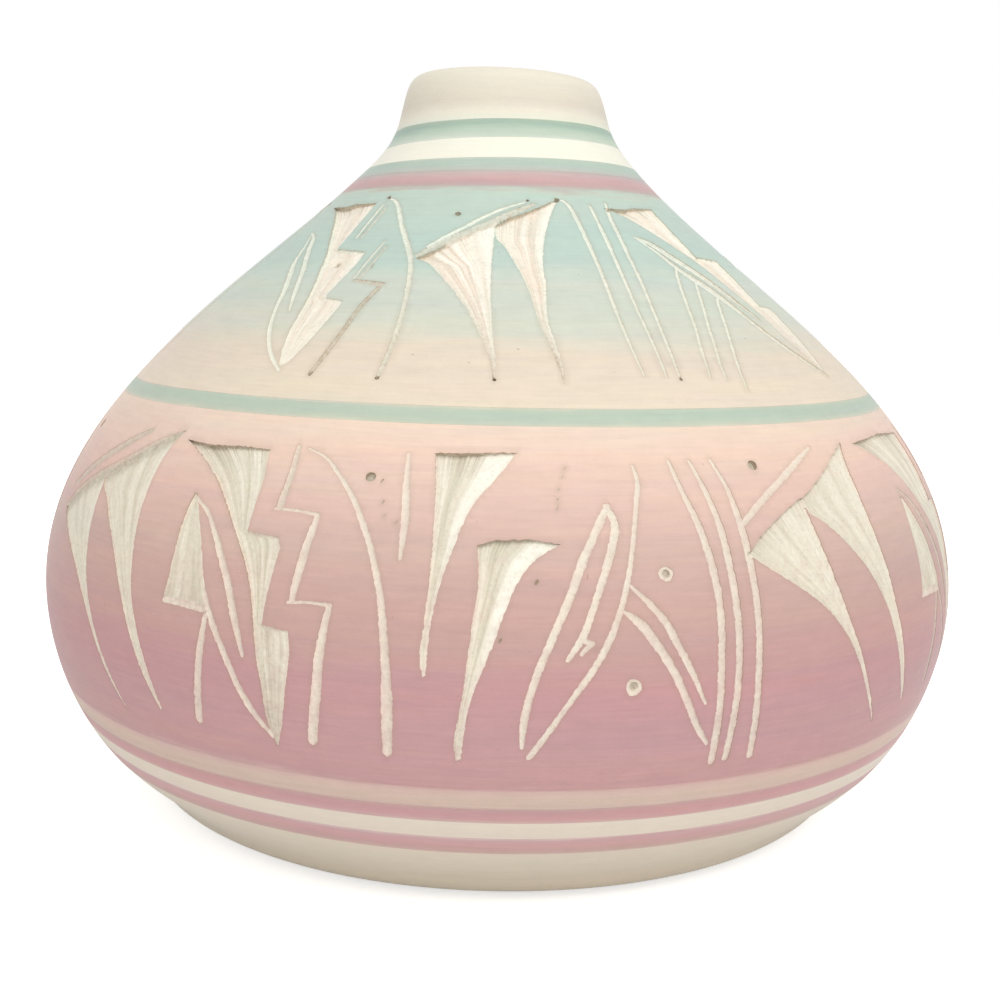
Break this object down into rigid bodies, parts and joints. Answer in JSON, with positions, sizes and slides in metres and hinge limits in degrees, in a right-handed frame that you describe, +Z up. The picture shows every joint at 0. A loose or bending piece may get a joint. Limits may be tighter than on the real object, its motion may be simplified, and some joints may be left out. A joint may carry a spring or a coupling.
{
  "type": "etched pottery vase",
  "caption": "Squat round-bellied pottery vase with a narrow neck, matte teal and mauve slip bands and panels with etched feather, step and rain motifs.",
  "frame": {"origin": "middle of the foot, on the surface that the vase stands on", "axes": "+Z up along the vase's own axis; -Y towards the viewer of the picture"},
  "size_m": [0.18, 0.18, 0.1415],
  "materials": {
    "bare_clay": "unglazed matte",
    "teal_slip": "matte slip",
    "mauve_slip": "matte slip",
    "teal_fade_slip": "matte slip",
    "mauve_fade_slip": "matte slip",
    "tan_slip": "matte slip"
  },
  "bodies": {
    "root": {"clay_vessel": "bare_clay", "neck_teal_band": "teal_slip", "shoulder_teal_band": "teal_slip", "shoulder_mauve_band": "mauve_slip", "upper_panel_coat": "teal_fade_slip", "girdle_teal_band": "teal_slip", "lower_panel_coat": "mauve_fade_slip", "tan_stripe": "tan_slip", "upper_mauve_stripe": "mauve_slip", "lower_mauve_stripe": "mauve_slip"}
  },
  "joints": []
}
